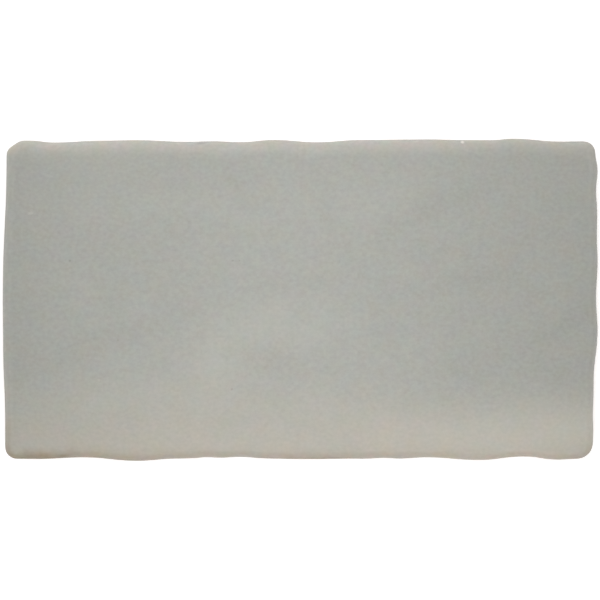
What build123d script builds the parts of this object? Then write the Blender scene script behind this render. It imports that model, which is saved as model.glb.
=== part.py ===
from build123d import *
import os

# A handmade wall tile: one slab of clay, trimmed by hand, glazed and fired.
# It lies on its flat back with the glazed face up, and its length runs along X.
# The origin is the middle of the back. All sizes are in millimetres.

# Overall size, over the furthest points of the wavy sides
tile_length = 140.7
tile_width = 76.25
tile_thickness = 9.0

# Section: the face falls a little from its middle and rolls over at the rim
fall_to_ends = 0.35
fall_to_long_sides = 0.3
rim_radius = 2.0
back_edge_radius = 0.5

# Corner radii seen from above, each as what it has beyond the rim's radius
lower_left_softness = 0.8
lower_right_softness = 1.8
upper_right_softness = 0.8

# The upper left corner is knocked off: a short slanting cut with rounded ends
knock_length = 3.3
knock_width = 2.2
knock_softness = 0.2

# Waves of each side, as (distance along the side, hollow below its furthest
# point). Each entry is the top of a crest or the bottom of a hollow, where the
# side runs level, and two arcs join it to the next; the first and the last lie
# where the side meets its corners. The long sides are listed from left to right
# and the short ones downwards. Each list is stretched to the length of its side.
upper_waves = [
    (0.0, 0.45),
    (5.9, 0.9),
    (17.0, 0.47),
    (25.5, 0.35),
    (37.3, 0.75),
    (43.2, 0.61),
    (49.8, 0.84),
    (57.6, 0.3),
    (68.1, 0.88),
    (77.9, 0.32),
    (93.7, 0.18),
    (103.5, 0.33),
    (109.4, 0.35),
    (114.0, 0.0),
    (125.8, 0.67),
    (131.0, 0.6),
]
lower_waves = [
    (0.0, 0.46),
    (4.6, 0.43),
    (15.9, 0.81),
    (28.5, 0.0),
    (37.8, 0.53),
    (41.7, 0.6),
    (45.1, 0.93),
    (47.7, 0.72),
    (53.0, 0.96),
    (59.0, 0.55),
    (68.9, 0.42),
    (79.5, 0.52),
    (82.8, 0.49),
    (86.8, 0.74),
    (90.1, 0.52),
    (96.7, 0.84),
    (109.3, 0.2),
    (119.9, 1.02),
    (127.9, 0.28),
    (132.5, 0.45),
]
left_waves = [
    (0.0, 0.86),
    (32.1, 0.0),
    (44.3, 0.08),
    (61.4, 0.53),
    (68.2, 0.52),
]
right_waves = [
    (0.0, 0.5),
    (4.1, 0.0),
    (8.9, 0.34),
    (14.4, 0.1),
    (20.6, 0.17),
    (25.0, 0.0),
    (35.0, 0.36),
    (41.8, 0.0),
    (53.9, 0.93),
    (56.9, 0.95),
    (62.1, 1.12),
    (65.5, 0.98),
    (68.6, 1.08),
]

half_length = tile_length / 2
half_width = tile_width / 2
left, right, up, down = Vector(-1, 0), Vector(1, 0), Vector(0, 1), Vector(0, -1)


def wavy_side(start, end, outwards, waves):
    """Draw one side as arcs, and return its crests and hollows from start to end."""
    along = end - start
    level = along - outwards * along.dot(outwards)
    crest_line = start + outwards * waves[0][1]
    listed_length = waves[-1][0]
    turns = []
    for distance, hollow in waves:
        turns.append(crest_line + level * (distance / listed_length) - outwards * hollow)
    for here, there in zip(turns, turns[1:]):
        halfway = (here + there) / 2
        TangentArc(here, halfway, tangent=level)
        TangentArc(there, halfway, tangent=-level)
    return turns


# The sharp corners that the sides would meet in, before they are rounded
upper_left = Vector(-half_length + left_waves[0][1], half_width - upper_waves[0][1])
upper_right = Vector(half_length - right_waves[0][1], half_width - upper_waves[-1][1])
lower_left = Vector(-half_length + left_waves[-1][1], -half_width + lower_waves[0][1])
lower_right = Vector(half_length - right_waves[-1][1], -half_width + lower_waves[-1][1])

upper_right_radius = rim_radius + upper_right_softness
lower_left_radius = rim_radius + lower_left_softness
lower_right_radius = rim_radius + lower_right_softness
knock_radius = rim_radius + knock_softness

# The knocked corner's path, with a straight run on each side for its rounding
knock_path = [
    upper_left + down * (knock_width + knock_radius),
    upper_left + down * knock_width,
    upper_left + right * knock_length,
    upper_left + right * (knock_length + knock_radius),
]

# The crown is lofted through three arcs that lie across the tile, one over its
# middle and one past each end. It reaches a thickness past the sides all round.
crown_half_length = half_length + tile_thickness
crown_half_width = half_width + tile_thickness
fall_past_ends = fall_to_ends * (crown_half_length / half_length) ** 2
fall_past_sides = fall_to_long_sides * (crown_half_width / half_width) ** 2
crown_stations = [
    (-crown_half_length, tile_thickness - fall_past_ends),
    (0, tile_thickness),
    (crown_half_length, tile_thickness - fall_past_ends),
]

with BuildPart() as tile:
    with BuildSketch() as footprint:
        with BuildLine() as outline:
            FilletPolyline(*knock_path, radius=knock_radius)
            upper_side = wavy_side(
                knock_path[-1], upper_right + left * upper_right_radius, up, upper_waves
            )
            right_side = wavy_side(
                upper_right + down * upper_right_radius,
                lower_right + up * lower_right_radius,
                right,
                right_waves,
            )
            lower_side = wavy_side(
                lower_left + right * lower_left_radius,
                lower_right + left * lower_right_radius,
                down,
                lower_waves,
            )
            left_side = wavy_side(
                knock_path[0], lower_left + up * lower_left_radius, left, left_waves
            )
            TangentArc(upper_side[-1], right_side[0], tangent=right)
            TangentArc(right_side[-1], lower_side[-1], tangent=down)
            TangentArc(left_side[-1], lower_side[0], tangent=down)
        make_face()
    extrude(amount=tile_thickness)

    for station, crest_height in crown_stations:
        with BuildSketch(Plane.YZ.offset(station)):
            with BuildLine():
                crest = ThreePointArc(
                    (-crown_half_width, crest_height - fall_past_sides),
                    (0, crest_height),
                    (crown_half_width, crest_height - fall_past_sides),
                )
                Polyline(
                    crest @ 1,
                    (crown_half_width, -tile_thickness),
                    (-crown_half_width, -tile_thickness),
                    crest @ 0,
                )
            make_face()
    loft(mode=Mode.INTERSECT)

    glazed_face = tile.faces().sort_by(Axis.Z)[-1]
    fillet(glazed_face.edges(), radius=rim_radius)
    back = tile.faces().sort_by(Axis.Z)[0]
    fillet(back.edges(), radius=back_edge_radius)

tile.part.label = "tile"
os.makedirs("parts", exist_ok=True)
export_step(tile.part, "parts/tile.step")
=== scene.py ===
import math

import bpy
import numpy as np
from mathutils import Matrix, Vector, kdtree, noise


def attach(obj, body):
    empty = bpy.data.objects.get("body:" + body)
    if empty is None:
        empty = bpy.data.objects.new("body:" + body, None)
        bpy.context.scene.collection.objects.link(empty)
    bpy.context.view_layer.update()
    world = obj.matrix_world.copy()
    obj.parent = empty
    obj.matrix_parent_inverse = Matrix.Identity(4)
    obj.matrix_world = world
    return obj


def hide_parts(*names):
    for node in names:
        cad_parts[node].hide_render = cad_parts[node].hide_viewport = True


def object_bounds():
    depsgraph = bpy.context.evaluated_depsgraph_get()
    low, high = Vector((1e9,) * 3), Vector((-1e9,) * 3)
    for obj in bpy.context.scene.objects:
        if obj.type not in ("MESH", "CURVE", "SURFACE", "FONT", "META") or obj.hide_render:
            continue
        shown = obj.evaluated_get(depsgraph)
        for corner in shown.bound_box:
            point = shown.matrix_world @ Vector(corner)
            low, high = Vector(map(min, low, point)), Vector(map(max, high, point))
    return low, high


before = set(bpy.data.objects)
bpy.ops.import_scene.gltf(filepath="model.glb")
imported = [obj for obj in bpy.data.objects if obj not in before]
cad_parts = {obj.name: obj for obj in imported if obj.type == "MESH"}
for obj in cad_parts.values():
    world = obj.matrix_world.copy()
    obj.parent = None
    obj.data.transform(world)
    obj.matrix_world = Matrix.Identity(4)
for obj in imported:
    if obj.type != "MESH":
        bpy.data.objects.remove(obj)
cadLow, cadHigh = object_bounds()

# A handmade wall tile: one slab of clay under a satin warm grey glaze.
# It lies on its bare back, face up, and its length runs along X.
# Lengths multiplied by mm are in metres. The hand's marks, the wall and the
# finish are set in millimetres, and their notes say so.
mm = 0.001

bpy.context.scene.view_settings.view_transform = "Standard"


# Shader maths: a socket that can be added, multiplied and so on, and the material round it

cloudMiddle = 0.5  # Blender's noise wanders round this
cloudSpread = 2.5  # and this spreads it to about -1 to 1


class Value:
    def __init__(self, finish, socket):
        self.finish = finish
        self.socket = socket

    def __add__(self, other):
        return self.finish.maths("ADD", self, other)

    def __radd__(self, other):
        return self.finish.maths("ADD", other, self)

    def __sub__(self, other):
        return self.finish.maths("SUBTRACT", self, other)

    def __rsub__(self, other):
        return self.finish.maths("SUBTRACT", other, self)

    def __mul__(self, other):
        return self.finish.maths("MULTIPLY", self, other)

    def __rmul__(self, other):
        return self.finish.maths("MULTIPLY", other, self)


class Finish:
    def __init__(self, owner):
        self.owner = owner  # a material or a world
        owner.use_nodes = True
        self.tree = owner.node_tree
        self.tree.nodes.clear()

    def readPlace(self):
        # the place on the piece in millimetres, and its X and Y
        place = self.node("ShaderNodeTexCoord", output="Object")
        self.place = self.shade(place, 1 / mm)
        self.x, self.y = (
            self.node("ShaderNodeSeparateXYZ", None, {"Vector": self.place}, output=axis)
            for axis in "XY"
        )

    def feed(self, socket, value):
        if isinstance(value, Value):
            self.tree.links.new(value.socket, socket)
        elif isinstance(value, tuple) and len(value) == 3 and socket.type == "RGBA":
            socket.default_value = (*value, 1.0)
        else:
            socket.default_value = value

    def node(self, kind, settings=None, inputs=None, output=0):
        made = self.tree.nodes.new(kind)
        for key, value in (settings or {}).items():
            setattr(made, key, value)
        for key, value in (inputs or {}).items():
            self.feed(made.inputs[key], value)
        return Value(self, made.outputs[output]) if made.outputs else None

    def maths(self, operation, *values):
        return self.node("ShaderNodeMath", {"operation": operation}, dict(enumerate(values)))

    def ramp(self, value, start, end):  # 0 before start, 1 after end, smooth between
        return self.node(
            "ShaderNodeMapRange",
            {"interpolation_type": "SMOOTHSTEP"},
            {"Value": value, "From Min": start, "From Max": end},
        )

    def attribute(self, name):
        return self.node("ShaderNodeAttribute", {"attribute_name": name}, output="Fac")

    def mix(self, share, first, second):  # two colours
        return self.node(
            "ShaderNodeMix",
            {"data_type": "RGBA"},
            {0: share, 6: first, 7: second},
            output=2,
        )

    def mixValue(self, share, first, second):  # two numbers
        return self.node("ShaderNodeMix", None, {0: share, 2: first, 3: second})

    def shade(self, colour, share):  # a colour or place, made larger or smaller by a share
        return self.node(
            "ShaderNodeVectorMath", {"operation": "SCALE"}, {"Vector": colour, "Scale": share}
        )

    def tint(self, colour, other):
        return self.node(
            "ShaderNodeVectorMath", {"operation": "MULTIPLY"}, {0: colour, 1: other}
        )

    def cloud(self, size, detail=2.0, rough=0.5, stretch=(1, 1, 1), shift=(0, 0, 0)):
        # noise from about -1 to 1, with blotches of about size millimetres
        placed = self.node(
            "ShaderNodeMapping",
            None,
            {"Vector": self.place, "Location": shift, "Scale": tuple(s / size for s in stretch)},
        )
        raw = self.node(
            "ShaderNodeTexNoise",
            None,
            {"Vector": placed, "Scale": 1.0, "Detail": detail, "Roughness": rough},
        )
        return (raw - cloudMiddle) * cloudSpread


# Camera: straight above the tile, so that its outline nearly fills the picture's width

camera = {
    "lens": 100.0,  # millimetres
    "sensor": 36.0,  # millimetres
    "pictureWidth": 141.79 * mm,  # what the picture spans at the rim
    "rimHeight": 7.3 * mm,  # where the rim is widest as seen from above
    "across": -0.055 * mm,  # the eye stands this far beside the middle
    "up": -0.06 * mm,
}


def placeCamera():
    data = bpy.data.cameras.new("camera")
    data.sensor_width = camera["sensor"]
    data.lens = camera["lens"]
    eye = bpy.data.objects.new("camera", data)
    distance = camera["pictureWidth"] * camera["lens"] / data.sensor_width
    eye.location = (camera["across"], camera["up"], camera["rimHeight"] + distance)
    bpy.context.scene.collection.objects.link(eye)
    bpy.context.scene.camera = eye
    print("camera stands at", round(eye.location.z, 4))


# Light: a soft sky all round, a soft box over the tile and a wide one beyond its far side

light = {
    "sky": 0.32,  # overhead
    "horizon": 0.89,
    "horizonEnds": (0.2, 0.5),  # sines of the heights between which it fades into the sky
    "boxPower": 0.42,  # watts
    "boxSize": (0.08, 0.30),  # metres, as all places and sizes here are
    "boxPlace": (0.0, -0.01, 0.25),
    "farPower": 2.2,
    "farSize": (0.9, 0.4),
    "farPlace": (-0.2, 0.75, 0.5),
    "floorGlow": 0.53,  # the pale floor is lit from below too, as a light table is
    "floorPaleness": 0.8,
    "floorRoughness": 0.9,
    "floorSize": 12.0,
}


def addSoftBox(name, power, size, place):
    data = bpy.data.lights.new(name, "AREA")
    data.shape = "RECTANGLE"
    data.size, data.size_y = size
    data.energy = power
    box = bpy.data.objects.new(name, data)
    box.location = place
    aim = Vector((0, 0, cadHigh.z)) - box.location
    box.rotation_euler = aim.to_track_quat("-Z", "Y").to_euler()
    bpy.context.scene.collection.objects.link(box)


def lightStudio():
    sky = Finish(bpy.data.worlds.new("studio"))
    direction = sky.node("ShaderNodeTexCoord", output="Generated")
    height = sky.node("ShaderNodeSeparateXYZ", None, {"Vector": direction}, output="Z")
    strength = sky.mixValue(sky.ramp(height, *light["horizonEnds"]), light["horizon"], light["sky"])
    glow = sky.node("ShaderNodeBackground", None, {"Color": (1.0, 1.0, 1.0), "Strength": strength})
    sky.node("ShaderNodeOutputWorld", None, {"Surface": glow})
    bpy.context.scene.world = sky.owner
    addSoftBox("box over the tile", light["boxPower"], light["boxSize"], light["boxPlace"])
    addSoftBox("box beyond the tile", light["farPower"], light["farSize"], light["farPlace"])
    print("studio lit")


# The tile's mesh: a fine grid drawn up into a slab, its rim rolled over, then worked by hand

tile = {
    "name": "glazed_tile",
    "cellsAlong": 226,
    "cellsAcross": 134,
    "crowding": 0.45,  # how much narrower the outer cells are
    "fallToEnds": 0.35 * mm,
    "fallToSides": 0.30 * mm,
    "rimRoll": 2.0 * mm,
    "rimRollVaries": 0.35 * mm,
    "rimRollSize": 9.0,  # millimetres along the rim over which the roll varies
    "rimRings": 10,
    "wallRings": 16,
    "backRoll": 0.5 * mm,
    "backRings": 4,
    "smoothing": 3,  # rounds of evening out the outline's points
}


def outlinePoints(node):
    # the CAD outline at the foot of the wall, where every point lies on the true curve
    foot = tile["backRoll"]
    sameHeight = 0.002 * mm
    spots = {
        (round(v.co.x, 6), round(v.co.y, 6))
        for v in node.data.vertices
        if abs(v.co.z - foot) < sameHeight
    }
    return np.array(sorted(spots, key=lambda spot: math.atan2(spot[1], spot[0])))


def smoothOutline(ring, spacing=0.1 * mm):
    # a smooth closed curve through the points, as evenly spaced dots with the distance run:
    # each stretch is a Hermite curve, and its slopes come from the points next to it
    before, after, beyond = np.roll(ring, 1, 0), np.roll(ring, -1, 0), np.roll(ring, -2, 0)
    dots = []
    for p0, p1, p2, p3 in zip(before, ring, after, beyond):
        step = [math.sqrt(np.linalg.norm(b - a)) for a, b in ((p0, p1), (p1, p2), (p2, p3))]
        count = max(2, round(step[1] ** 2 / spacing))
        slope1 = (p1 - p0) / step[0] - (p2 - p0) / (step[0] + step[1]) + (p2 - p1) / step[1]
        slope2 = (p2 - p1) / step[1] - (p3 - p1) / (step[1] + step[2]) + (p3 - p2) / step[2]
        for t in np.arange(count) / count:
            h1, h2 = 2 * t**3 - 3 * t**2 + 1, t**3 - 2 * t**2 + t
            h3, h4 = -2 * t**3 + 3 * t**2, t**3 - t**2
            dots.append(h1 * p1 + h2 * step[1] * slope1 + h3 * p2 + h4 * step[1] * slope2)
    dots = np.array(dots)
    run = np.concatenate([[0], np.cumsum(np.linalg.norm(np.roll(dots, -1, 0) - dots, axis=1))])
    return dots, run


def crowded(count):
    # places from 0 to 1 that lie closer together near both ends
    t = np.arange(count + 1) / count
    return t - tile["crowding"] * np.sin(2 * math.pi * t) / (2 * math.pi)


def cornerRuns(dots, run):
    # the distance run at each corner, anticlockwise from the lower left one
    corners = [(-1, -1), (1, -1), (1, 1), (-1, 1)]
    half = np.array([cadHigh.x, cadHigh.y])
    return [run[np.argmin(np.linalg.norm(dots - half * corner, axis=1))] for corner in corners]


def sideDots(dots, run, start, end, places):
    # points along one side of the outline, from one corner to the next
    whole = run[-1]
    length = (end - start) % whole
    at = (start + places * length) % whole
    closed = np.vstack([dots, dots[:1]])
    return np.column_stack([np.interp(at, run, closed[:, axis]) for axis in (0, 1)])


def rimRing(columns, rows):
    # the outline, as one point for each grid vertex round the rim
    dots, run = smoothOutline(outlinePoints(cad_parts["tile"]))
    corners = cornerRuns(dots, run)
    sides = [columns, rows, 1 - columns[::-1], 1 - rows[::-1]]
    ring = np.vstack(
        [
            sideDots(dots, run, corners[k], corners[(k + 1) % 4], places)[:-1]
            for k, places in enumerate(sides)
        ]
    )
    for _ in range(tile["smoothing"]):
        ring = (np.roll(ring, 1, 0) + 2 * ring + np.roll(ring, -1, 0)) / 4
    return ring


def inwardFrom(ring):
    # inward directions all along a ring of points
    ahead = np.roll(ring, -1, 0) - np.roll(ring, 1, 0)
    ahead /= np.linalg.norm(ahead, axis=1)[:, None]
    return np.column_stack([-ahead[:, 1], ahead[:, 0]])


def patch(ring, columns, rows):
    # a net of points inside a ring that starts at the lower left corner
    nx, ny = len(columns) - 1, len(rows) - 1
    closed = np.vstack([ring, ring[:1]])
    lower, right = closed[: nx + 1], closed[nx : nx + ny + 1]
    upper, left = closed[nx + ny : 2 * nx + ny + 1][::-1], closed[2 * nx + ny :][::-1]
    u, v = columns[:, None, None], rows[None, :, None]
    ruled = (1 - v) * lower[:, None] + v * upper[:, None] + (1 - u) * left[None] + u * right[None]
    bilinear = (
        (1 - u) * (1 - v) * lower[0]
        + u * (1 - v) * lower[-1]
        + u * v * upper[-1]
        + (1 - u) * v * upper[0]
    )
    return ruled - bilinear


def crown(x, y):
    return (
        cadHigh.z
        - tile["fallToEnds"] * (x / cadHigh.x) ** 2
        - tile["fallToSides"] * (y / cadHigh.y) ** 2
    )


# What the hand and the fire left in the glazed face, with painted light and shade over it. Each mark
# is a soft stroke: its middle in millimetres, its direction in degrees, its half length and half
# width, and what it does there: its lightness share makes the glaze lighter or darker by that share,
# partly the glaze's own uneven lightness and partly painted light and shade over the strokes and the
# face, rise lifts it by so many millimetres, and warm adds so much of the warm lower band's colour.
marks = [
    dict(at=(-7.0, -6.5), turn=4, long=13.0, wide=6.0, toneAndPaintedLight=0.055, rise=0.03, warm=0.15),
    dict(at=(-20.0, -15.0), turn=50, long=8.0, wide=7.0, toneAndPaintedLight=0.045, rise=0.03, warm=0.2),
    dict(at=(-6.7, -15.2), turn=-14, long=7.5, wide=3.0, toneAndPaintedLight=-0.05, rise=-0.06, warm=0.1),
    dict(at=(-46.0, -22.0), turn=14, long=16.0, wide=7.0, toneAndPaintedLight=0.02, rise=0.02, warm=0.12),
    dict(at=(32.0, 21.5), turn=24, long=13.0, wide=3.0, toneAndPaintedLight=-0.05, rise=-0.04),
    dict(at=(39.0, 4.6), turn=13, long=14.0, wide=2.2, toneAndPaintedLight=-0.032, rise=-0.04),
    dict(at=(62.5, -6.4), turn=28, long=9.0, wide=2.0, toneAndPaintedLight=-0.04, rise=-0.05),
    dict(at=(44.5, -14.7), turn=28, long=10.0, wide=3.0, toneAndPaintedLight=-0.026, rise=-0.03),
    dict(at=(60.5, -18.0), turn=10, long=6.0, wide=4.0, toneAndPaintedLight=-0.02, rise=-0.02),
    dict(at=(56.0, -31.0), turn=3, long=30.0, wide=7.5, toneAndPaintedLight=0.15, rise=0.02, warm=0.05),
    dict(at=(-66.0, -8.0), turn=90, long=12.0, wide=4.5, toneAndPaintedLight=-0.02, rise=-0.02),
    dict(at=(-47.4, -10.4), turn=19, long=20.0, wide=3.0, toneAndPaintedLight=-0.03, rise=-0.03),
    dict(at=(-52.0, 34.0), turn=-3, long=18.0, wide=5.0, toneAndPaintedLight=0.045),
    dict(at=(-4.8, 22.2), turn=0, long=32.0, wide=4.0, toneAndPaintedLight=0.015, rise=0.03),
    dict(at=(-39.8, 15.6), turn=-4, long=12.0, wide=2.5, toneAndPaintedLight=-0.015, rise=-0.02),
    dict(at=(-8.0, 4.0), turn=0, long=26.0, wide=3.0, toneAndPaintedLight=-0.012, rise=-0.02),
    dict(at=(68.0, 5.0), turn=90, long=16.0, wide=4.0, toneAndPaintedLight=-0.02, rise=-0.02),
    dict(at=(-54.0, 8.0), turn=90, long=34.0, wide=13.0, toneAndPaintedLight=0.022),
    dict(at=(38.0, 4.0), turn=20, long=24.0, wide=20.0, toneAndPaintedLight=-0.02),
    dict(at=(20.0, 24.5), turn=24, long=10.0, wide=5.0, toneAndPaintedLight=0.032, rise=0.02),
    dict(at=(-43.0, 22.5), turn=0, long=20.0, wide=5.5, toneAndPaintedLight=0.03),
    dict(at=(-35.0, -22.0), turn=15, long=14.0, wide=13.0, toneAndPaintedLight=0.028),
    dict(at=(-20.0, 28.5), turn=0, long=9.0, wide=4.0, toneAndPaintedLight=-0.014),
    dict(at=(7.0, -5.0), turn=10, long=7.0, wide=4.0, toneAndPaintedLight=0.026),
    dict(at=(20.0, -15.0), turn=15, long=18.0, wide=5.0, toneAndPaintedLight=0.018),
    dict(at=(66.0, 8.0), turn=90, long=6.0, wide=4.0, toneAndPaintedLight=0.015),
]

relief = {  # all in millimetres
    "swell": 0.06,  # broad unevenness of the slab
    "swellSize": 26.0,
    "ripple": 0.02,
    "rippleSize": 6.0,
    "rippleStretch": 2.5,  # how much longer than wide, along X
    "bandFrom": -15.0,  # between these Y the glaze turns to the warm lower band
    "bandTo": -38.0,
    "bandDrift": 4.0,
    "bandDriftSize": 14.0,
    "bandDriftStretch": 2.0,
    "fadeEnds": (0.5, 0.9),  # shares of the thickness between which the relief comes in
}

# Where the glaze ran thin over the edge and the brown of the body comes through: the place on
# the edge in millimetres, half the length of the stretch, how brown it is and how far in it goes
thinPlaces = [
    dict(at=(-60.5, -37.4), half=9.5, share=0.98, reach=3.3),
    dict(at=(-66.5, -37.4), half=4.0, share=0.5, reach=2.6),
    dict(at=(-40.0, -37.9), half=11.0, share=0.34, reach=3.0),
    dict(at=(0.0, -37.5), half=90.0, share=0.07, reach=2.6),
    dict(at=(3.0, -37.6), half=9.0, share=0.75, reach=0.9),
    dict(at=(50.0, -37.4), half=9.0, share=0.25, reach=0.6),
    dict(at=(65.5, -37.0), half=5.0, share=0.3, reach=1.8),
    dict(at=(-69.0, -12.0), half=24.0, share=0.2, reach=0.7),
    dict(at=(70.0, 18.0), half=12.0, share=0.22, reach=0.7),
]

thinning = {
    "ragged": 0.45,  # the share by which its reach varies
    "raggedSize": 2.2,  # millimetres
    "falloff": 1.6,  # above 1 it fades faster near the edge
}

wall = {  # all in millimetres; depths are below the face
    "glazeEnd": 3.4,  # where the glaze stops, with its wander and drips
    "glazeWander": 1.1,
    "glazeWanderSize": 11.0,
    "drip": 3.2,
    "dripSize": 6.5,
    "dripEnds": (0.12, 0.64),  # noise between which a drip grows to its full length
    "glazeThickness": 0.14,
    "glazeStep": (-0.1, 0.3),  # past the glaze line, the stretch where its thickness ends
    "dent": 0.45,
    "dentSize": 9.0,
    "dentMore": 0.1,  # what is added to the noise, so that dents cover more than half the wall
    "dentEnds": (2.6, 4.2),  # depths between which dents and drag lines set in
    "dragLine": 0.14,
    "dragSize": 14.0,
    "dragPitch": 0.8,
    "crumb": 0.07,
    "crumbSize": 1.4,
}


def smooth(value, start, end):  # 0 before start, 1 after end, smooth between
    t = np.clip((value - start) / (end - start), 0, 1)
    return t * t * (3 - 2 * t)


def cloudAt(spots, size, layer, stretch=1.0):
    # soft noise from about -1 to 1 at places given in millimetres; each layer is another pattern
    layers = np.broadcast_to(layer, len(spots))
    return np.array(
        [noise.noise((x / size / stretch, y / size, z)) for (x, y), z in zip(spots, layers)]
    )


def handWork(spots):
    # height in millimetres, share of lightness (partly painted light and shade) and warmth that the
    # work leaves at each place
    height = relief["swell"] * cloudAt(spots, relief["swellSize"], layer=3.7)
    height += relief["ripple"] * cloudAt(
        spots, relief["rippleSize"], layer=9.1, stretch=relief["rippleStretch"]
    )
    drift = relief["bandDrift"] * cloudAt(
        spots, relief["bandDriftSize"], layer=6.3, stretch=relief["bandDriftStretch"]
    )
    warm = smooth(-spots[:, 1] + drift, -relief["bandFrom"], -relief["bandTo"])
    toneAndPaintedLight = np.zeros(len(spots))
    for mark in marks:
        turn = math.radians(mark["turn"])
        dx, dy = (spots - mark["at"]).T
        along = (dx * math.cos(turn) + dy * math.sin(turn)) / mark["long"]
        across = (dy * math.cos(turn) - dx * math.sin(turn)) / mark["wide"]
        share = np.exp(-(along**2) - across**2)
        height += mark.get("rise", 0) * share
        toneAndPaintedLight += mark["toneAndPaintedLight"] * share
        warm += mark.get("warm", 0) * share
    return height, toneAndPaintedLight, warm


def thinGlaze(spots, near):
    # how much brown shows at each place, which lies near millimetres from the edge
    thin = np.zeros(len(spots))
    ragged = 1 + thinning["ragged"] * cloudAt(spots, thinning["raggedSize"], layer=1.3)
    for place in thinPlaces:
        away = np.linalg.norm(spots - place["at"], axis=1) / place["half"]
        inwards = np.clip(1 - near / (place["reach"] * ragged), 0, 1) ** thinning["falloff"]
        thin += (1 - thin) * place["share"] * np.exp(-(away**2)) * inwards
    return thin


def glazeLine(spots):
    # how far below the face the glaze stops, in millimetres, with drips here and there
    wander = cloudAt(spots, wall["glazeWanderSize"], layer=2.2)
    drips = smooth(cloudAt(spots, wall["dripSize"], layer=8.8), *wall["dripEnds"])
    return wall["glazeEnd"] + wall["glazeWander"] * wander + wall["drip"] * drips


def wallInset(ring, height):
    # how far the hand-cut wall lies inside the outline at this height
    spots = ring / mm
    depth = (cadHigh.z - height) / mm
    dentNoise = cloudAt(spots, wall["dentSize"], layer=depth / wall["dentSize"] + 4.4)
    dents = np.maximum(0, dentNoise + wall["dentMore"])
    drags = 0.5 + 0.5 * cloudAt(spots, wall["dragSize"], layer=depth / wall["dragPitch"])
    crumbs = 0.5 + 0.5 * cloudAt(spots, wall["crumbSize"], layer=depth / wall["crumbSize"])
    worked = (wall["dent"] * dents + wall["dragLine"] * drags) * smooth(depth, *wall["dentEnds"])
    bare = wall["glazeThickness"] + wall["crumb"] * crumbs
    return (worked + bare * smooth(depth - glazeLine(spots), *wall["glazeStep"])) * mm


def section(ring):
    # the rings from the back up to the face, each as its places and its heights
    inward = inwardFrom(ring)
    wobble = cloudAt(ring / mm, tile["rimRollSize"], layer=5.0)
    roll = tile["rimRoll"] - tile["rimRollVaries"] * (0.5 + 0.5 * wobble)
    foot = np.full(len(ring), tile["backRoll"])
    footInset = wallInset(ring, foot)
    ringPlaces = []
    for k in range(tile["backRings"]):
        turn = math.pi / 2 * k / tile["backRings"]
        inset = footInset + tile["backRoll"] * (1 - math.sin(turn))
        ringPlaces.append((ring + inward * inset[:, None], foot * (1 - math.cos(turn))))
    innerRing = ring + inward * roll[:, None]
    rimTop = crown(innerRing[:, 0], innerRing[:, 1])
    for k in range(tile["wallRings"]):
        height = foot + (rimTop - roll - foot) * k / tile["wallRings"]
        ringPlaces.append((ring + inward * wallInset(ring, height)[:, None], height))
    for k in range(tile["rimRings"] + 1):
        turn = math.pi / 2 * k / tile["rimRings"]
        inset = roll * (1 - math.cos(turn))
        ringPlaces.append((ring + inward * inset[:, None], rimTop - roll * (1 - math.sin(turn))))
    return ringPlaces


def nearTheRim(placed, ring):
    # how far each vertex lies from the outline as seen from above, in millimetres
    nearest = kdtree.KDTree(len(ring))
    for k, (x, y) in enumerate(ring):
        nearest.insert((x, y, 0), k)
    nearest.balance()
    return np.array([nearest.find((x, y, 0))[2] for x, y in placed[:, :2]]) / mm


def raiseSlab():
    # a square grid as wide as the tile is long, drawn up ring by ring in edit mode
    bpy.ops.object.select_all(action="DESELECT")
    nx, ny = tile["cellsAlong"], tile["cellsAcross"]
    bpy.ops.mesh.primitive_grid_add(
        x_subdivisions=nx, y_subdivisions=ny, size=cadHigh.x - cadLow.x, location=(0, 0, 0)
    )
    slab = bpy.context.object
    slab.name = slab.data.name = tile["name"]
    rings = tile["backRings"] + tile["wallRings"] + tile["rimRings"]
    step = cadHigh.z / rings
    bpy.ops.object.mode_set(mode="EDIT")
    for _ in range(rings):
        bpy.ops.mesh.extrude_region_move(TRANSFORM_OT_translate={"value": (0, 0, step)})
    bpy.ops.object.mode_set(mode="OBJECT")
    print("slab raised in", rings, "rings,", len(slab.data.vertices), "vertices")
    return slab, rings, step


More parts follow.
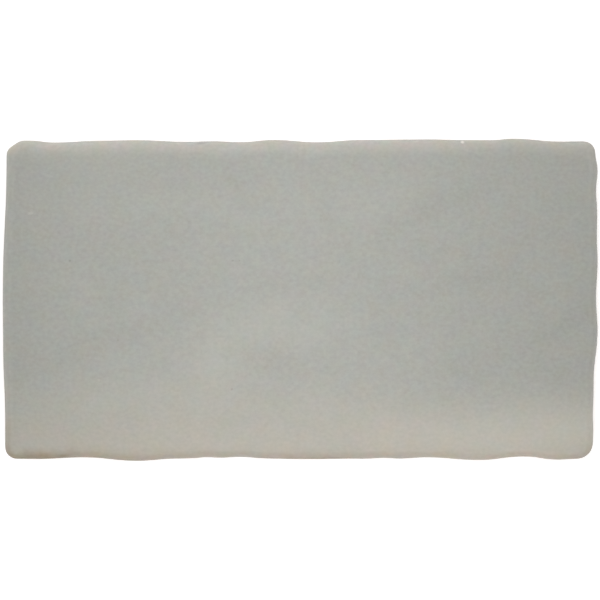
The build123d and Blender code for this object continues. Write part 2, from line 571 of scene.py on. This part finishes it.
def shapeTile():
    slab, rings, step = raiseSlab()
    mesh = slab.data
    nx, ny = tile["cellsAlong"], tile["cellsAcross"]
    side = cadHigh.x - cadLow.x
    raw = np.empty(len(mesh.vertices) * 3)
    mesh.vertices.foreach_get("co", raw)
    raw = raw.reshape(-1, 3)
    column = np.rint((raw[:, 0] / side + 0.5) * nx).astype(int)
    row = np.rint((raw[:, 1] / side + 0.5) * ny).astype(int)
    level = np.rint(raw[:, 2] / step).astype(int)

    columns, rows = crowded(nx), crowded(ny)
    ring = rimRing(columns, rows)
    ringPlaces = section(ring)

    # the place of each vertex: the outer ones on the rings, the others in the face and the back
    ringIndex = np.where(
        row == 0,
        column,
        np.where(
            column == nx,
            nx + row,
            np.where(row == ny, nx + ny + (nx - column), 2 * nx + ny + (ny - row)),
        ),
    ) % len(ring)
    outer = (row == 0) | (row == ny) | (column == 0) | (column == nx)
    placed = np.empty_like(raw)
    face = patch(ringPlaces[-1][0], columns, rows)
    back = patch(ringPlaces[0][0], columns, rows)
    for k, (flat, height) in enumerate(ringPlaces):
        here = outer & (level == k)
        placed[here, :2] = flat[ringIndex[here]]
        placed[here, 2] = height[ringIndex[here]]
    inside = ~outer & (level == rings)
    placed[inside, :2] = face[column[inside], row[inside]]
    placed[inside, 2] = crown(placed[inside, 0], placed[inside, 1])
    inside = ~outer & (level == 0)
    placed[inside, :2] = back[column[inside], row[inside]]
    placed[inside, 2] = 0.0

    # how far each vertex is past the rim, in millimetres: minus on the face, plus down the wall
    near = nearTheRim(placed, ring)
    depth = (cadHigh.z - placed[:, 2]) / mm
    pastRim = np.where(level == 0, depth + near, depth - near)

    # the worked face fades out down the wall
    spots = placed[:, :2] / mm
    height, toneAndPaintedLight, warm = handWork(spots)
    placed[:, 2] += height * mm * smooth(placed[:, 2] / cadHigh.z, *relief["fadeEnds"])
    placed[:, 2] = np.minimum(placed[:, 2], cadHigh.z)
    mesh.vertices.foreach_set("co", placed.ravel())
    mesh.update()

    looks = {
        "pastRim": pastRim,
        "pastGlaze": pastRim - glazeLine(spots),
        "toneAndPaintedLight": toneAndPaintedLight,
        "warm": warm,
        "thin": thinGlaze(spots, near),
    }
    for name, values in looks.items():
        attribute = mesh.attributes.new(name, "FLOAT", "POINT")
        attribute.data.foreach_set("value", values.astype(np.float32))

    bpy.ops.object.mode_set(mode="EDIT")
    bpy.ops.mesh.select_all(action="SELECT")
    bpy.ops.mesh.normals_make_consistent(inside=False)
    bpy.ops.object.mode_set(mode="OBJECT")
    bpy.ops.object.shade_smooth()
    print("tile shaped,", sum(len(p.vertices) - 2 for p in mesh.polygons), "triangles")
    return slab


# The finish: satin warm grey glaze that thins over the rim, with painted light and shade on the rims
# and towards the ends, and bare clay below the glaze line.
# Sizes and distances are in millimetres. Past the edge they are minus on the face and plus down
# the wall. Where a pair gives the ends of a fade, it is gone at the first and full at the second.

glaze = {
    "grey": (0.335, 0.339, 0.307),
    "lowerBand": (0.406, 0.383, 0.328),  # where it runs thin towards the lower side
    "wanderSize": 4.0,  # blotches by which the borders below wander
    # the side rims, paler where the glaze thins over them and lighter still with painted light
    "sideRimPaleAndPaintedLight": (0.398, 0.394, 0.360),
    "lowSideRimWarmAndPaintedLight": (0.457, 0.434, 0.375),
    "rimEnds": (-2.3, 0.15),  # past the edge
    "rimWander": 0.3,
    "rimShare": 0.9,
    "lowSideEnds": (-33.0, -36.3),  # Y between which the lower side sets in
    "lowerShade": (0.385, 0.350, 0.287),  # painted shade just inside the lower rim, browner where the glaze thins
    "shadeEnds": (-4.6, -1.6),  # past the edge
    "shadeWander": 0.8,
    "shadeShare": 0.55,
    "shadeLess": 0.3,  # towards the right
    "shadeLessEnds": (36.0, 52.0),  # X
    # the lower rim's roll, warm where the glaze thins and lighter with painted light
    "lowerRimWarmAndPaintedLight": (0.449, 0.403, 0.340),
    "lowerRimEnds": (-1.7, -0.2),  # past the edge
    # the upper rim, pale pinkish where the glaze thins and lighter with a painted highlight
    "upperRimPaleAndPaintedLight": (0.441, 0.424, 0.380),
    "upperRimEnds": (-5.0, 0.0),  # past the edge
    "upperRimWander": 0.9,
    "upSideEnds": (32.0, 36.5),  # Y between which the upper side sets in
    "upperLess": 0.35,  # towards the right
    "upperLessEnds": (30.0, 48.0),  # X
    "upperLessWander": 3.0,
    "brownEdge": (0.262, 0.209, 0.134),
    "brownVaries": 0.2,
    # painted shade, darker towards both ends of the tile
    "paintedShadeAtEnds": 0.032,
    "halfLength": 70.0,  # how far from the middle the ends get that much painted shade
    "beadDarker": 0.10,  # where it gathers above the glaze line
    "beadEnds": (-1.0, -0.1),  # past the glaze line
    # painted shade on the glazed wall just below the rim
    "paintedShadeDownEdge": 0.09,
    "edgeEnds": (0.5, 1.2),  # past the edge
    "mottle": 0.024,
    "mottleSize": 7.0,
    "grain": 0.093,
    "grainLess": 0.02,  # in the warm band
    "grainSize": 0.85,
    "faceBlush": 0.38,  # how strongly the blushes show on the face
    "rimBlush": 0.38,  # and how much more along the long rims
    "fray": 0.22,  # how ragged the small flaws are
    "fraySize": 0.45,
    "flawEnds": (1.15, 0.4),  # shares of a flaw's half sizes
    "flawDepth": 2.5,
    "roughness": 0.5,
    "sheen": 0.05,  # by how much the roughness varies
    "sheenSize": 8.0,
    "peel": 0.2,  # fine orange peel
    "peelSize": 0.6,
}

# Cloudiness of hue: blotches that tint the glaze from green to pink and from blue to yellow
blushes = [
    dict(size=3.5, shift=(9, 2, 4), first=(0.934, 1.021, 1.010), second=(1.066, 0.979, 0.990)),
    dict(size=4.5, shift=(1, 7, 3), first=(0.988, 0.996, 1.090), second=(1.012, 1.004, 0.910)),
]

clay = {
    "buff": (0.46, 0.36, 0.26),
    "pink": (0.45, 0.315, 0.225),
    "pinkSpread": 0.7,  # how far the blotches go towards either colour
    "blotch": 0.11,
    "blotchSize": 9.0,
    "speckle": 0.10,
    "speckleSize": 0.5,
    # how much lighter the raised drag lines and darker their grooves are: painted light and shade
    "drag": 0.10,
    "dragSize": 3.0,
    "darkGrog": (0.22, 0.15, 0.10),
    "darkGrogShare": 0.5,
    "darkGrogSize": 0.7,
    "paleGrog": (0.66, 0.57, 0.46),
    "paleGrogShare": 0.45,
    "paleGrogSize": 0.9,
    "grogEnds": (0.5, 0.75),  # noise
    # painted shade: the colour the clay darkens to in its pits
    "pit": (0.20, 0.14, 0.09),
    "pitShadeShare": 0.7,
    "pitSize": 1.1,
    "pitEnds": (0.55, 0.8),  # noise
    "scorch": (0.33, 0.21, 0.13),  # along the glaze line
    "scorchShare": 0.6,
    "scorchEnds": (1.1, 0.1),  # past the glaze line
    "scorchWander": 0.2,
    "bareEnds": (0.0, 0.25),  # past the glaze line
    "bareWander": 0.15,
    "bareWanderSize": 1.2,
    "roughness": 0.92,
    "coarseSize": 0.4,
    "dragBump": 1.4,
    "coarseBump": 0.9,
    "pitBump": 3.0,
    "bumpStrength": 0.4,
    "bumpHeight": 0.04 * mm,
}

# Small flaws: place, half length and half width, direction in degrees, colour and how strongly
# they show
flaws = [
    dict(at=(-54.2, 9.2), long=0.35, wide=0.30, turn=0, colour=(0.20, 0.20, 0.18), share=0.45),
    dict(at=(-15.9, 9.2), long=0.35, wide=0.28, turn=10, colour=(0.20, 0.20, 0.18), share=0.4),
    dict(at=(-14.3, 9.2), long=0.30, wide=0.25, turn=0, colour=(0.22, 0.22, 0.20), share=0.35),
    dict(at=(-16.1, -21.1), long=0.40, wide=0.30, turn=40, colour=(0.24, 0.22, 0.18), share=0.4),
    dict(at=(-42.9, -9.5), long=0.35, wide=0.28, turn=0, colour=(0.22, 0.22, 0.20), share=0.35),
    dict(at=(-63.5, 20.4), long=0.80, wide=0.45, turn=5, colour=(0.55, 0.54, 0.50), share=0.28),
    dict(at=(-59.5, 29.3), long=1.80, wide=0.40, turn=-20, colour=(0.50, 0.49, 0.45), share=0.16),
    dict(at=(-47.4, -18.9), long=0.40, wide=0.35, turn=0, colour=(0.56, 0.51, 0.46), share=0.2),
    dict(at=(-23.4, 36.9), long=1.90, wide=0.40, turn=8, colour=(0.27, 0.25, 0.23), share=0.42),
    dict(at=(38.25, 37.2), long=0.55, wide=0.45, turn=0, colour=(0.85, 0.79, 0.73), share=0.6),
    dict(at=(38.2, 36.4), long=0.55, wide=0.35, turn=0, colour=(0.40, 0.34, 0.30), share=0.3),
    dict(at=(-68.6, 36.2), long=4.00, wide=2.20, turn=35, colour=(0.47, 0.43, 0.34), share=0.7),
    dict(at=(-55.8, -36.9), long=1.70, wide=0.50, turn=4, colour=(0.24, 0.18, 0.11), share=0.5),
]


def rimColour(finish, colour, pastRim, warm, ragged):
    # the rims: paler where the glaze is stretched thin over them and lighter with painted light,
    # painted shade just inside the lower rim, and how far the long rims reach
    x, y = finish.x, finish.y
    wander = ragged * glaze["rimWander"]
    # the side rims: paler thin glaze with painted light over it
    rim = finish.ramp(pastRim + wander, *glaze["rimEnds"]) * glaze["rimShare"]
    colour = finish.mix(rim, colour, finish.mix(warm, glaze["sideRimPaleAndPaintedLight"], glaze["lowSideRimWarmAndPaintedLight"]))

    lowSide = finish.ramp(y, *glaze["lowSideEnds"])
    # painted shade just inside the lower rim, browner where the glaze thins
    shaded = finish.ramp(pastRim + ragged * glaze["shadeWander"], *glaze["shadeEnds"]) * lowSide
    less = finish.ramp(x, *glaze["shadeLessEnds"]) * glaze["shadeLess"]
    colour = finish.mix(shaded * (glaze["shadeShare"] - less), colour, glaze["lowerShade"])
    # the lower rim's roll: warm thin glaze with painted light over it
    lower = finish.ramp(pastRim + wander, *glaze["lowerRimEnds"]) * lowSide
    colour = finish.mix(lower, colour, glaze["lowerRimWarmAndPaintedLight"])

    # the upper rim: pale thin glaze with a painted highlight, less towards the right
    upper = finish.ramp(pastRim + ragged * glaze["upperRimWander"], *glaze["upperRimEnds"])
    upper = upper * finish.ramp(y, *glaze["upSideEnds"])
    less = finish.ramp(x + ragged * glaze["upperLessWander"], *glaze["upperLessEnds"])
    upper = upper * (1.0 - less * glaze["upperLess"])
    return finish.mix(upper, colour, glaze["upperRimPaleAndPaintedLight"]), upper + lower


def addFlaws(finish, colour):
    faceHeight = cadHigh.z / mm
    fray = finish.cloud(glaze["fraySize"], detail=2.0, shift=(6, 1, 8)) * glaze["fray"]
    for flaw in flaws:
        spot = finish.node(
            "ShaderNodeMapping",
            {"vector_type": "TEXTURE"},
            {
                "Vector": finish.place,
                "Location": (*flaw["at"], faceHeight),
                "Rotation": (0, 0, math.radians(flaw["turn"])),
                "Scale": (flaw["long"], flaw["wide"], glaze["flawDepth"]),
            },
        )
        away = finish.node("ShaderNodeVectorMath", {"operation": "LENGTH"}, {0: spot}, output="Value")
        shown = finish.ramp(away + fray, *glaze["flawEnds"]) * flaw["share"]
        colour = finish.mix(shown, colour, flaw["colour"])
    return colour


def glazeColour(finish, pastRim, pastGlaze):
    warm, thin = finish.attribute("warm"), finish.attribute("thin")
    ragged = finish.cloud(glaze["wanderSize"], shift=(0, 5, 2))
    colour = finish.mix(warm, glaze["grey"], glaze["lowerBand"])
    colour, longRims = rimColour(finish, colour, pastRim, warm, ragged)
    brown = thin * (1.0 + ragged * glaze["brownVaries"])
    colour = finish.mix(brown, colour, glaze["brownEdge"])

    # unevenness of lightness, from broad to fine, with painted shade at the ends and down the edge
    # painted shade towards the ends grows with the square of this
    along = finish.x * (1.0 / glaze["halfLength"])
    mottle = finish.cloud(glaze["mottleSize"], detail=3.0)
    grain = finish.cloud(glaze["grainSize"], detail=1.0, rough=0.6, stretch=(0.85, 1, 1))
    bead = finish.ramp(pastGlaze, *glaze["beadEnds"]) * glaze["beadDarker"]
    # painted shade on the glazed wall just below the rim
    edge = finish.ramp(pastRim, *glaze["edgeEnds"]) * glaze["paintedShadeDownEdge"]
    # the marks' lightness share here is partly painted light and shade
    lightness = 1.0 + finish.attribute("toneAndPaintedLight") - along * along * glaze["paintedShadeAtEnds"] - bead - edge
    lightness = lightness + mottle * glaze["mottle"]
    lightness = lightness + grain * (glaze["grain"] - warm * glaze["grainLess"])
    colour = finish.shade(colour, lightness)

    # unevenness of hue
    strength = longRims * glaze["rimBlush"] + glaze["faceBlush"]
    for blush in blushes:
        share = finish.cloud(blush["size"], detail=2.0, shift=blush["shift"]) * strength + 0.5
        colour = finish.tint(colour, finish.mix(share, blush["first"], blush["second"]))
    return addFlaws(finish, colour)


def clayColour(finish, pastGlaze, drag, pits):
    speckle = finish.cloud(clay["speckleSize"], detail=4.0, rough=0.7)
    blotch = finish.cloud(clay["blotchSize"], detail=3.0, shift=(4, 4, 4))
    colour = finish.mix(blotch * clay["pinkSpread"] + 0.5, clay["buff"], clay["pink"])
    # drag lines lighter on their ridges and darker in their grooves: painted light and shade
    lightness = 1.0 + speckle * clay["speckle"] + blotch * clay["blotch"] + drag * clay["drag"]
    colour = finish.shade(colour, lightness)
    darkGrog = finish.cloud(clay["darkGrogSize"], detail=1.0, shift=(3, 8, 1))
    paleGrog = finish.cloud(clay["paleGrogSize"], detail=1.0, shift=(7, 2, 5))
    darkGrog = finish.ramp(darkGrog, *clay["grogEnds"]) * clay["darkGrogShare"]
    paleGrog = finish.ramp(paleGrog, *clay["grogEnds"]) * clay["paleGrogShare"]
    colour = finish.mix(darkGrog, colour, clay["darkGrog"])
    colour = finish.mix(paleGrog, colour, clay["paleGrog"])
    # painted shade in the pits, over the bump that dents them
    colour = finish.mix(pits * clay["pitShadeShare"], colour, clay["pit"])
    scorched = finish.ramp(pastGlaze + speckle * clay["scorchWander"], *clay["scorchEnds"])
    return finish.mix(scorched * clay["scorchShare"], colour, clay["scorch"])


def glazedClay():
    finish = Finish(bpy.data.materials.new("glazed clay"))
    finish.readPlace()
    pastRim, pastGlaze = finish.attribute("pastRim"), finish.attribute("pastGlaze")
    wander = finish.cloud(clay["bareWanderSize"], detail=3.0, shift=(0, 0, 7)) * clay["bareWander"]
    bare = finish.ramp(pastGlaze + wander, *clay["bareEnds"])
    drag = finish.cloud(clay["dragSize"], detail=3.0, rough=0.6, stretch=(1, 1, 7))
    pits = finish.cloud(clay["pitSize"], detail=2.0, shift=(8, 0, 3))
    pits = finish.ramp(pits, *clay["pitEnds"])
    glazed = glazeColour(finish, pastRim, pastGlaze)
    colour = finish.mix(bare, glazed, clayColour(finish, pastGlaze, drag, pits))
    sheen = finish.cloud(glaze["sheenSize"], detail=3.0, shift=(2, 6, 1)) * glaze["sheen"]
    roughness = finish.mixValue(bare, sheen + glaze["roughness"], clay["roughness"])

    # fine orange peel on the glaze; pits and drag lines in the clay
    peel = finish.cloud(glaze["peelSize"], detail=2.0, rough=0.6, stretch=(0.7, 1, 1)) * glaze["peel"]
    coarse = finish.cloud(clay["coarseSize"], detail=3.0, rough=0.7)
    rough = drag * clay["dragBump"] + coarse * clay["coarseBump"] - pits * clay["pitBump"]
    bump = finish.node(
        "ShaderNodeBump",
        None,
        {
            "Height": finish.mixValue(bare, peel, rough),
            "Strength": clay["bumpStrength"],
            "Distance": clay["bumpHeight"],
        },
    )
    surface = finish.node(
        "ShaderNodeBsdfPrincipled",
        None,
        {"Base Color": colour, "Roughness": roughness, "Normal": bump, "IOR": 1.5},
    )
    finish.node("ShaderNodeOutputMaterial", None, {"Surface": surface})
    print("glazed clay mixed")
    return finish.owner


def paleFloor():
    finish = Finish(bpy.data.materials.new("pale floor"))
    surface = finish.node(
        "ShaderNodeBsdfPrincipled",
        None,
        {
            "Base Color": (light["floorPaleness"],) * 3,
            "Roughness": light["floorRoughness"],
            "Emission Color": (1.0, 1.0, 1.0),
            "Emission Strength": light["floorGlow"],
        },
    )
    finish.node("ShaderNodeOutputMaterial", None, {"Surface": surface})
    return finish.owner


def layFloor():
    bpy.ops.object.select_all(action="DESELECT")
    bpy.ops.mesh.primitive_plane_add(size=light["floorSize"], location=(0, 0, 0))
    floor = bpy.context.object
    floor.name = "floor"
    floor.data.materials.append(paleFloor())
    print("floor laid")


placeCamera()
lightStudio()
layFloor()
piece = shapeTile()
piece.data.materials.append(glazedClay())
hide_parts("tile")
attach(piece, "root")
